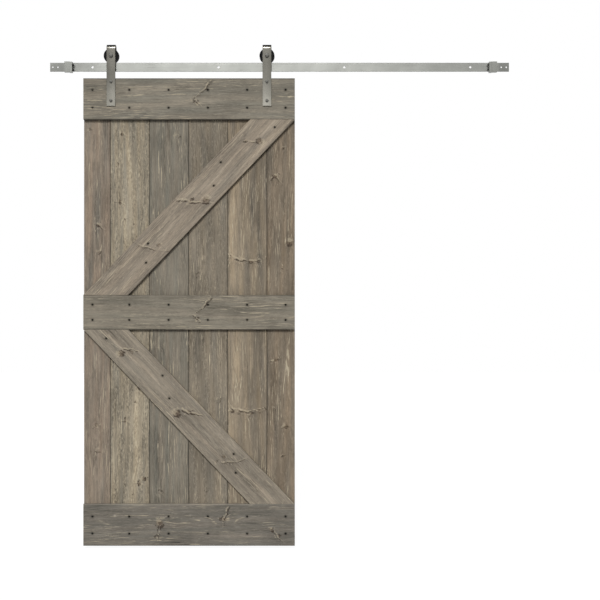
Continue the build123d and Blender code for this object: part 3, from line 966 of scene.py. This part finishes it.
# %% [markdown]
# ## Turned shapes
#
# Bolts, nuts, wheels, buttons and screw heads are all turned or pressed round a middle line. Blender's
# own cylinders would do for a stand-in, but a real head has a rounded rim, and a real nut has its
# corners cut by a cone. So a turned piece is a table: one row for each ring, with its radius and its
# height, and one column for each direction. A hexagon is the same table with a radius that changes with
# the direction, and a cross recess is a height that does.


# %% Turn a table of rings into a shape
def round_the(sides):
    """The angle of each side."""
    return 2 * pi * np.arange(sides) / sides


def turned(radius, height, place=(0, 0, 0), axis="y", sides=48, ring=False):
    """Rings round a middle line: each point is the radius times a direction, plus the height along the axis.

    radius and height have one row a ring, and one value or one value a side in each row.
    """
    radius = np.asarray(radius, float).reshape(len(radius), -1) + np.zeros(sides)
    height = np.asarray(height, float).reshape(len(height), -1) + np.zeros(sides)
    angle = round_the(sides)
    flat = np.stack([radius * np.sin(angle), height, radius * np.cos(angle)], -1)
    order = {"x": (1, 0, 2), "y": (0, 1, 2), "z": (0, 2, 1)}[axis]
    points = flat[..., order].reshape(-1, 3) + np.array(place)
    return points, loop_faces(len(radius), sides, ring)


def hexagon(flats, sides=48):
    """The radius of a hexagon in each direction, with a corner straight up."""
    return flats / 2 / np.cos((round_the(sides) + pi / 6) % (pi / 3) - pi / 6)


def fillet(radius, height, size, count=4):
    """Rings of a rounded rim: a quarter circle from the flat end to the side, as radii and heights."""
    turn = np.linspace(0, pi / 2, count)
    return list(radius - size + size * np.sin(turn)), list(height + size - size * np.cos(turn))


axle_flats = 18.0 * mm
print("The axle's hexagon is", round(2 * hexagon(axle_flats).max() / mm, 2), "mm across corners")

# %% [markdown]
# ## The black screws
#
# They are countersunk screws with a cross recess, driven flush, and they read as black dots. Their heads
# are round: the plain solids have six sides. The face of the head is a table of rings whose height dips
# where a cross lies over them, and the last rings fall into the cone and the shank in the wood.

# %% Black screws
screw_radius = 4.0 * mm
shank_radius = 1.8 * mm
screw_length = 32.0 * mm
recess_reach = 2.1 * mm
recess_half = 0.45 * mm
recess_depth = 1.5 * mm
head_stand = 0.45 * mm  # how far the crown of the head stands out of the wood
face_rings = [0.25, 0.6, 0.9, 1.3, 1.7, 2.1, 2.3, 3.0, 3.6, 3.9, 4.0]  # millimetres


def screw_shape(sides=40):
    """A head with a low crown and a cross recess, a cone and a shank."""
    angle = round_the(sides)
    radius = np.array(face_rings)[:, None] * mm
    crown = -head_stand * np.sqrt(1 - 0.97 * (radius / screw_radius) ** 2)
    arm = np.minimum(abs(radius * np.sin(angle)), abs(radius * np.cos(angle)))
    dip = np.clip((1.6 * recess_half - arm) / (0.6 * recess_half), 0, 1)
    dip = dip * np.clip((recess_reach + 0.2 * mm - radius) / (0.3 * mm), 0, 1)
    shank = np.array([1.0, 1.0, 0.5, 0.02])[:, None] * shank_radius
    depth = np.array([screw_radius - shank_radius, 26 * mm, 30 * mm, screw_length])[:, None]
    radius = np.concatenate([radius, shank]) + 0 * angle
    return turned(radius, np.concatenate([crown + recess_depth * dip, depth + 0 * angle]), sides=sides)


black = Finish("blackened_screws", colour(14, 13, 13), 0.5)
dust = black.noise(black.place(), (900.0, 900.0, 900.0), 3.0)
black.set("Base Color", black.mix(black.between(dust, 0.5, 0.75), colour(9, 9, 9), colour(34, 31, 28)))
black.set("Specular IOR Level", 0.05)
black.set("Roughness", black.plus(0.5, black.times(dust, 0.35)))

screw = screw_shape()
for name in ("top_rail", "middle_rail", "bottom_rail", "upper_brace", "lower_brace"):
    node = name + "_screws"
    shape = copies(*screw, places_at(node, door_front))
    add_piece(name + "_screw_heads", shape, "door", black, node)

# %% [markdown]
# ## Brushed steel
#
# The bar, the straps and the stops are flat steel with a satin finish. Brushing leaves fine parallel
# lines, so the gloss is spread across them. Each piece was brushed along its own length, so the lines
# are noise that is stretched a hundred times more along one direction. The gloss also varies slowly,
# where hands and dust dull it.


# %% Satin finishes
def satin(name, shade, lines, roughness=0.3, spread=0.07, tone_change=None):
    """Bare steel brushed along the direction in which lines is smallest.

    The last argument works out from a place how much brighter the steel is there: a painted reflection on the
    straps, and a darker tone towards the ends of the bar.
    """
    steel = Finish(name, shade, roughness, 1.0)
    place = steel.place()
    scratch = steel.noise(place, lines, 4.0, 0.7)
    cloud = steel.noise(place, (9.0, 9.0, 9.0), 4.0, 0.6)
    speck = steel.noise(place, (420.0, 420.0, 420.0), 2.0, 0.5)
    tone = steel.plus(1.0, steel.swing(scratch, 0.3), steel.swing(cloud, 0.15))
    if tone_change:
        tone = steel.times(tone, tone_change(steel, steel.parts(place)))
    steel.set("Base Color", steel.tinted(shade, tone))
    dulled = [steel.swing(cloud, 2 * spread), steel.swing(speck, 0.3 * spread), steel.swing(scratch, spread)]
    steel.set("Roughness", steel.plus(roughness, *dulled))
    steel.bump(scratch, 0.02 * mm, 0.25)
    return steel


def strap_painted_reflection(steel, place):
    """1 down to the top of the door, and twice as bright at the strap's lower end: a painted reflection."""
    return steel.minus(2.0, steel.between(place[2], -0.18, -0.04))


def bar_end_darkening(steel, place):
    """1 along the middle of the bar, and darker towards its ends.

    It is darkest in the last few centimetres, behind the stops.
    """
    left = steel.between(place[0], -0.98, -0.76)
    right = steel.between(steel.minus(0.0, place[0]), -1.05, -0.2)
    behind = steel.between(steel.math("ABSOLUTE", place[0]), 0.985, 1.0)
    return steel.minus(steel.plus(0.8, steel.times(left, right, 0.2)), steel.times(behind, 0.2))


track_steel = satin("track_steel", colour(157, 158, 153), (5.0, 900.0, 900.0), tone_change=bar_end_darkening)
# The straps' brighter lower ends are a painted reflection.
strap_steel = satin("strap_steel", colour(111, 109, 102), (900.0, 900.0, 6.0), 0.28, tone_change=strap_painted_reflection)
stop_steel = satin("stop_steel", colour(138, 139, 134), (700.0, 700.0, 8.0))
bolt_steel = satin("bolt_steel", colour(88, 87, 83), (500.0, 500.0, 500.0), 0.5)
grub_steel = satin("grub_steel", colour(52, 51, 49), (500.0, 500.0, 500.0), 0.4)
sleeve_steel = satin("sleeve_steel", colour(170, 170, 167), (600.0, 6.0, 600.0), 0.25)
for name, steel in (("track_bar", track_steel), ("axle_sleeves", sleeve_steel)):
    for slot in nodes[name].material_slots:
        slot.material = steel.material
print("The bar and the sleeves keep their solids")

# %% [markdown]
# ## The bent straps
#
# Each strap is one strip of 40 by 5 mm, bent over its wheel. A strip like that is a rounded rectangle
# carried along a path: up the front leg, round a half circle and down the back leg, whose end is round.
# The rounded edges catch a line of light on both sides, which a sharp solid can't.

# %% Bent straps
strap_thick = 5.0 * mm
strap_soft = 0.8 * mm  # radius on the strip's long edges
back_end = 30.8 * mm  # height of the round end behind the wheel
soft_steps, leg_steps, arc_steps, back_steps, tip_steps = 4, 70, 33, 12, 24


def strip_section(width, thick, soft):
    """A rounded rectangle as across and through places, widths in the first and thickness in the second."""
    angle = np.arange(4)[:, None] * pi / 2 + np.linspace(0, pi / 2, 5)
    corner = np.array([[1, -1, -1, 1], [1, 1, -1, -1]])[..., None]
    reach = np.array([width / 2 - soft, thick / 2 - soft])[:, None, None]
    return (corner * reach + soft * np.stack([np.cos(angle), np.sin(angle)])).reshape(2, -1)


def strap_shape(name):
    """The strip carried along its path. Each station has a height, a way outwards and a half width.

    The way is half a turn on the front leg and none on the back one. Round the tip the half width is the
    cosine of the angle whose sine gives the height. The first stations are drawn in for a soft edge.
    """
    low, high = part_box(name)
    middle, half = (low + high) / 2, (high.x - low.x) / 2
    bend = (high.y - low.y - strap_thick) / 2
    bend_z = high.z - bend - strap_thick / 2
    soft = np.cos(np.linspace(0, pi / 2, soft_steps))
    tip = np.linspace(0, pi / 2, tip_steps)
    path = [
        (low.z + strap_soft * (1 - soft), pi),
        (np.linspace(low.z + 2 * strap_soft, bend_z, leg_steps), pi),
        (bend_z, np.linspace(pi, 0, arc_steps)[1:-1]),
        (np.linspace(bend_z, back_end + half, back_steps)[:-1], 0),
        (back_end + half * (1 - np.sin(tip)), 0),
    ]
    height = np.concatenate([height + 0 * way for height, way in path])[:, None]
    way = np.concatenate([way + 0 * height for height, way in path])[:, None]
    wide, thick = np.ones_like(height), np.ones_like(height)
    wide[:soft_steps, 0] -= strap_soft / half * (1 - np.sqrt(1 - soft**2))
    wide[-tip_steps:, 0] = np.maximum(np.cos(tip), 0.02)
    thick[:soft_steps, 0] -= 0.3 * soft**2
    across, through = strip_section(2 * half, strap_thick, strap_soft)
    out = bend + through * thick
    x, y, z = middle.x + across * wide, middle.y + np.cos(way) * out, height + np.sin(way) * out
    return np.stack([x, y, z], -1).reshape(-1, 3), loop_faces(*x.shape)


for side in ("left", "right"):
    name = side + "_hanger_strap"
    add_piece(side + "_bent_strap", strap_shape(name), "door", strap_steel, name, 40.0)

# %% [markdown]
# ## Bolts, nuts and coach screws
#
# A forged hexagon has its six upper corners turned off at 30 degrees, which leaves a round top face and
# curved flats. In the table of rings that is one ring: its radius is the hexagon's, and its height falls
# by the tangent of 30 degrees for each step outside the round face.

# %% Hexagon heads
chamfer_slope = 0.577
face_share = 0.47  # the radius of the round face over the flats
coach_flats = 13.0 * mm


def hex_rings(flats):
    """A hexagon's radius, that of its round face, and how far the chamfer falls at each corner."""
    corner = hexagon(flats)
    face = face_share * flats + 0 * corner
    return corner, face, (corner - face) * chamfer_slope


def hex_head(flats, shank, name):
    """A head and shank for each solid of a node: its height and its length are the solid's own."""
    low, high = islands(name)[0]
    tall, end = strap_front - low[1], high[1] - strap_front
    corner, face, fallen = hex_rings(flats)
    flat = 0 * corner
    radius = [flat + 0.5 * mm, face - 0.4 * mm, face, corner, corner]
    height = [flat - tall, flat - tall, flat - tall + 0.1 * mm, fallen - tall + 0.1 * mm, flat]
    radius += [flat + shank, flat + shank, flat + shank - 0.6 * mm]
    height += [flat, flat + end - 0.6 * mm, flat + end]
    return copies(*turned(radius, height), places_at(name, strap_front))


def hex_nut(flats, tall, bore):
    """A nut from 0 to tall, with its corners turned off at both ends and its bore open."""
    corner, face, fallen = hex_rings(flats)
    flat = 0 * corner
    radius = [flat + bore, face, corner, corner, face, flat + bore]
    height = [flat, flat, fallen, flat + tall - fallen, flat + tall, flat + tall]
    return turned(radius, height, ring=True)


strap_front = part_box("left_hanger_strap")[0].y
nut_low, nut_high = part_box("axle_nuts")
nut = hex_nut(axle_flats, nut_high.y - nut_low.y, 6 * mm)
for name, shape, node in (
    ("axle_bolt_heads", hex_head(axle_flats, 6 * mm, "axle_bolts"), "axle_bolts"),
    ("coach_screws", hex_head(coach_flats, 4 * mm, "hanger_screws"), "hanger_screws"),
    ("axle_nuts_turned", copies(*nut, places_at("axle_bolts", nut_low.y)), "axle_nuts"),
):
    add_piece(name, shape, "door", bolt_steel, node)

# %% [markdown]
# ## The wheels
#
# The wheels are turned from black nylon: two flanges with a rounded rim, a groove between them that
# rides on the bar, and a shallow dish in each flank. Their section is a closed loop of radius and depth,
# and turning it makes a ring with an open bore.

# %% Nylon wheels
flange_radius = 34.3 * mm
groove_radius = 30.5 * mm
groove_half_width = 4.0 * mm
bore_radius = 9.23 * mm
rim_soft = 1.2 * mm
dish = 0.8 * mm

nylon = Finish("black_nylon", colour(9, 9, 9), 0.45)
nylon.set("Specular IOR Level", 0.1)
turning = nylon.noise(nylon.place(), (160.0, 1200.0, 160.0), 3.0)
nylon.set("Roughness", nylon.plus(0.42, nylon.times(turning, 0.25)))
nylon.set("Base Color", nylon.mix(nylon.between(turning, 0.4, 0.7), colour(6, 6, 6), colour(15, 15, 15)))
nylon.bump(turning, 0.03 * mm, 0.5)


def wheel_shape(name, sides=96):
    """One flank, the groove and the other flank, as a loop of rings from the bore and back to it."""
    low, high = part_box(name)
    x, z = (low.x + high.x) / 2, (low.z + high.z) / 2
    middle, half = (low.y + high.y) / 2, (high.y - low.y) / 2
    rim_r, rim_h = fillet(flange_radius, -half, rim_soft)
    radius = [bore_radius, 13 * mm, 14 * mm, 28 * mm, 29 * mm] + rim_r
    height = [-half, -half, dish - half, dish - half, -half] + rim_h
    radius += [flange_radius - 0.4 * mm, groove_radius + 0.3 * mm, groove_radius]
    height += [-groove_half_width - 0.2 * mm, -groove_half_width, -groove_half_width + 0.3 * mm]
    radius = np.array(radius + radius[::-1])
    height = np.array(height + [-value for value in height[::-1]])
    return turned(radius, middle + height, (x, 0, z), "y", sides, ring=True)


for side in ("left", "right"):
    name = side + "_wheel"
    add_piece(side + "_nylon_wheel", wheel_shape(name), name, nylon, name)

# %% [markdown]
# ## The stops
#
# A stop is a channel clamped round the bar by two grub screws, with a plate on its inner side that
# carries two rubber buttons. The channel's section is carried straight across, and a Bevel modifier
# breaks its edges, because a worked-out rounding of so many corners would hide the simple idea.

# %% Channels and plates
stop_edge = 0.6 * mm
clamp_play = 0.3 * mm
lip = 9.0 * mm
bar_low, bar_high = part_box("track_bar")


def stop_piece(name, node, outline):
    """A section in depth and height, carried straight across its node's width, with softened edges."""
    low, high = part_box(node)
    points = np.zeros((2, len(outline), 3))
    points[:, :, 0] = [[low.x], [high.x]]
    points[:, :, 1:] = outline
    shape = points.reshape(-1, 3), loop_faces(2, len(outline))
    piece = add_piece(name, shape, "track", stop_steel, node)
    bevel = piece.modifiers.new("soft edges", "BEVEL")
    bevel.width = stop_edge
    bevel.segments = 2
    bevel.limit_method = "ANGLE"


def channel(low, high):
    """The clamp: a front, a roof and a floor round the bar, and a lip up and down behind it."""
    front, roof, under = bar_low.y - clamp_play, bar_high.z + clamp_play, bar_low.z
    return [
        (low.y, low.z), (high.y, low.z), (high.y, under + lip), (clamp_play, under + lip),
        (clamp_play, under), (front, under), (front, roof), (clamp_play, roof),
        (clamp_play, bar_high.z - lip), (high.y, bar_high.z - lip), (high.y, high.z), (low.y, high.z),
    ]


def rectangle(low, high):
    """The plate."""
    return [(low.y, low.z), (high.y, low.z), (high.y, high.z), (low.y, high.z)]


for side in ("left", "right"):
    for kind, node, outline in (("channel", "clamp", channel), ("plate", "plate", rectangle)):
        node = f"{side}_stop_{node}"
        stop_piece(f"{side}_{kind}", node, outline(*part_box(node)))

# %% Grub screws
grub_radius = 2.5 * mm
grub_rim = 0.3 * mm
socket_flats = 2.5 * mm
socket_depth = 2.0 * mm
grub_sides = 36

grubs = islands("stop_set_screws")
tall = grubs[0][1][2] - grubs[0][0][2]
socket = hexagon(socket_flats, grub_sides)
flat = 0 * socket
radius = [0.4 * socket, socket, socket, flat + grub_radius - grub_rim, flat + grub_radius, flat + grub_radius]
height = [flat + tall - depth for depth in (socket_depth, socket_depth, 0, 0, grub_rim, tall)]
grub = turned(radius, height, axis="z", sides=grub_sides)
grub_places = [(low + high) / 2 * (1, 1, 0) + (0, 0, low[2]) for low, high in grubs]
add_piece("grub_screws", copies(*grub, grub_places), "track", grub_steel, "stop_set_screws")

# %% Rubber buttons
button_radius = 4.0 * mm
neck_radius = 3.6 * mm
dome_rim = 1.6 * mm

rubber = Finish("black_rubber", colour(28, 27, 26), 0.8)
grit = rubber.noise(rubber.place(), (700.0, 700.0, 700.0), 3.0)
rubber.set("Base Color", rubber.mix(rubber.between(grit, 0.4, 0.7), colour(22, 21, 21), colour(44, 42, 40)))
rubber.bump(grit, 0.05 * mm, 0.6)

buttons = []
for low, high in islands("stop_buffers"):
    inward = 1 if low[0] < 0 else -1
    start = low[0] if inward > 0 else high[0]
    long = high[0] - low[0]
    dome_r, dome_h = fillet(button_radius, 0, dome_rim, 6)
    radius = [button_radius, button_radius, neck_radius, neck_radius, button_radius]
    height = [0, 1.2 * mm, 1.5 * mm, 1.9 * mm, 2.2 * mm]
    radius += dome_r[::-1] + [0.6 * mm]
    height += [long - value for value in dome_h[::-1]] + [long]
    middle = (low + high) / 2
    buttons.append(turned(radius, inward * np.array(height), (start, middle[1], middle[2]), "x"))
add_piece("rubber_buttons", together(*buttons), "track", rubber, "stop_buffers")

# %% [markdown]
# ## Floor and light
#
# The door hangs a finger's width above a plain pale floor. The light is a wide, soft one from above and
# in front, as under a studio ceiling: it puts a shadow below each rail, as wide as the rail is thick.
# A low even light from all round fills the rest, and is stronger behind the door, where the high light
# doesn't reach, so that a colour shows about as it is written on both sides. The backdrop is white only
# for the camera, and metal sees pale walls and a dark ceiling.

# %% Floor
floor_gap = 14 * mm
floor_half = 12.0
floor_z = cad_box[0].z - floor_gap
corners = [(x * floor_half, y * floor_half, floor_z) for x, y in ((-1, -1), (1, -1), (1, 1), (-1, 1))]
floor_mesh = bpy.data.meshes.new("floor")
floor_mesh.from_pydata(corners, [], [(0, 1, 2, 3)])
floor = bpy.data.objects.new("floor", floor_mesh)
bpy.context.scene.collection.objects.link(floor)

floor_glow = 1.28
seen_glow, mirrored_glow = 0.7, 0.4  # how much of the glow the camera sees, and how much the metal

pale = Finish("pale_floor", (0.6, 0.6, 0.6, 1.0), 0.9)
glow = pale.node("Emission", {"Color": (1, 1, 1, 1), "Strength": floor_glow})
rays = pale.node("LightPath", {}).outputs
share = pale.plus(
    pale.times(rays["Is Camera Ray"], seen_glow), pale.times(rays["Is Glossy Ray"], mirrored_glow),
)
blend = pale.node("MixShader", {0: share, 1: pale.shader.outputs[0], 2: glow.outputs[0]})
pale.feed(pale.tree.nodes["Material Output"].inputs["Surface"], blend.outputs[0])
floor_mesh.materials.append(pale.material)
print("The floor lies", round(floor_gap / mm), "mm below the door")

# %% Light
sun_level = 2.35
sun_spread = 16.0  # degrees, and so are its height and its turn to the side
sun_height = 34.0
sun_side = -6.0
front_fill, back_fill = 0.29, 0.85  # the even light from the camera's side, and from behind the door
wall_level, ceiling_level = 0.75, 0.06  # what metal sees of the studio's walls and ceiling
wall_end, ceiling_start = 0.3, 0.8  # where one turns into the other, as the upright part of a direction

world = bpy.data.worlds.new("studio")
world.use_nodes = True
world.node_tree.nodes.clear()
studio = Graph(world.node_tree)
rays = studio.node("LightPath", {}).outputs
way = studio.parts(studio.node("TexCoord", {}).outputs["Generated"])
paper = (1.0, 1.0, 1.0, 1.0)


def glowing(strength):
    """A white light of some strength from all round."""
    return studio.node("Background", {"Color": paper, "Strength": strength}).outputs[0]


walls = studio.between(studio.math("ABSOLUTE", way[2]), wall_end, ceiling_start, wall_level, ceiling_level)
fill = studio.between(way[1], 0.0, 0.5, front_fill, back_fill)
backdrop = glowing(studio.math("MAXIMUM", walls, rays["Is Camera Ray"]))
seen = studio.math("MAXIMUM", rays["Is Camera Ray"], rays["Is Glossy Ray"], rays["Is Transmission Ray"])
choice = studio.node("MixShader", {0: seen, 1: glowing(fill), 2: backdrop}).outputs[0]
studio.node("OutputWorld", {"Surface": choice})
bpy.context.scene.world = world

sun_data = bpy.data.lights.new("high_soft_light", "SUN")
sun_data.energy = sun_level
sun_data.angle = radians(sun_spread)
sun = bpy.data.objects.new("high_soft_light", sun_data)
sun.rotation_euler = (radians(90 - sun_height), 0, radians(sun_side))
bpy.context.scene.collection.objects.link(sun)
bpy.context.scene.view_settings.view_transform = "Standard"
print("The light comes from", sun_height, "degrees above the level")

# %% [markdown]
# ## Last look
#
# The finer pieces must not be larger than the solids that they stand for, so the box of the solids is
# printed.

# %% Write the sizes and finish
print("Box of the solids", [[round(v, 4) for v in p] for p in cad_box])
